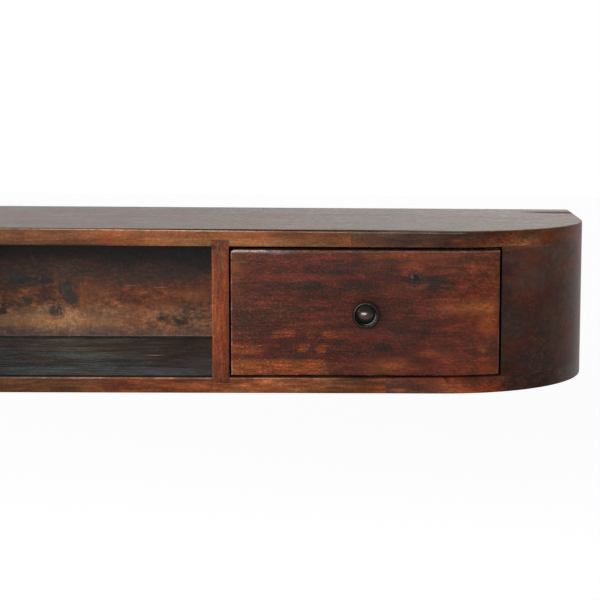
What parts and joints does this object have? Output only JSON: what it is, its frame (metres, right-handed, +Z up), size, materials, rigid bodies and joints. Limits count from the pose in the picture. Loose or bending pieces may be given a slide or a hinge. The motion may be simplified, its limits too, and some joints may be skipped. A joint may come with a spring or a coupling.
{
  "type": "wall-mounted console",
  "caption": "Low wall-mounted wooden console with rounded ends, an open middle compartment and round-knobbed drawers that slide straight out.",
  "frame": {"origin": "middle of the back panel's rear face, on the plane of the wall, halfway up and halfway along", "axes": "+X along the console to the right as seen from the room, +Y into the wall, +Z up; the drawers open towards -Y"},
  "size_m": [1.1, 0.2958, 0.16],
  "materials": {
    "chestnut_wood": "chestnut stain under satin lacquer",
    "dark_chestnut_wood": "dark chestnut stain under satin lacquer",
    "plain_wood": "bare, sanded",
    "old_brass": "darkened antique brass, worn bright on the rim",
    "steel": "zinc-plated steel"
  },
  "bodies": {
    "carcass": {"top_board": "chestnut_wood", "bottom_board": "chestnut_wood", "divider_left": "chestnut_wood", "divider_right": "chestnut_wood", "back_panel": "chestnut_wood", "end_wall_left": "dark_chestnut_wood", "end_wall_right": "dark_chestnut_wood", "bay_side_left": "plain_wood", "bay_side_right": "plain_wood", "end_dowel_left_top_corner": "plain_wood", "end_dowel_left_top_rear": "plain_wood", "end_dowel_left_bottom_corner": "plain_wood", "end_dowel_left_bottom_rear": "plain_wood", "end_dowel_right_top_corner": "plain_wood", "end_dowel_right_top_rear": "plain_wood", "end_dowel_right_bottom_corner": "plain_wood", "end_dowel_right_bottom_rear": "plain_wood", "drawer_stop_left_inner": "plain_wood", "drawer_stop_left_outer": "plain_wood", "drawer_stop_right_inner": "plain_wood", "drawer_stop_right_outer": "plain_wood", "hanger_plate_left": "steel", "hanger_plate_right": "steel", "hanger_screw_left_upper": "steel", "hanger_screw_left_lower": "steel", "hanger_screw_right_upper": "steel", "hanger_screw_right_lower": "steel"},
    "drawer_left": {"drawer_front_left": "chestnut_wood", "drawer_side_left_inner": "plain_wood", "drawer_side_left_outer": "plain_wood", "drawer_back_left": "plain_wood", "drawer_bottom_left": "plain_wood", "drawer_bottom_screw_left_inner": "steel", "drawer_bottom_screw_left_outer": "steel", "knob_left": "old_brass", "knob_washer_left": "steel", "knob_screw_left": "steel"},
    "drawer_right": {"drawer_front_right": "chestnut_wood", "drawer_side_right_inner": "plain_wood", "drawer_side_right_outer": "plain_wood", "drawer_back_right": "plain_wood", "drawer_bottom_right": "plain_wood", "drawer_bottom_screw_right_inner": "steel", "drawer_bottom_screw_right_outer": "steel", "knob_right": "old_brass", "knob_washer_right": "steel", "knob_screw_right": "steel"}
  },
  "joints": [
    {"name": "drawer_left_slide", "type": "slide", "parent": "carcass", "child": "drawer_left", "axis": [0, -1, 0], "range_m": [0, 0.17]},
    {"name": "drawer_right_slide", "type": "slide", "parent": "carcass", "child": "drawer_right", "axis": [0, -1, 0], "range_m": [0, 0.17]}
  ]
}
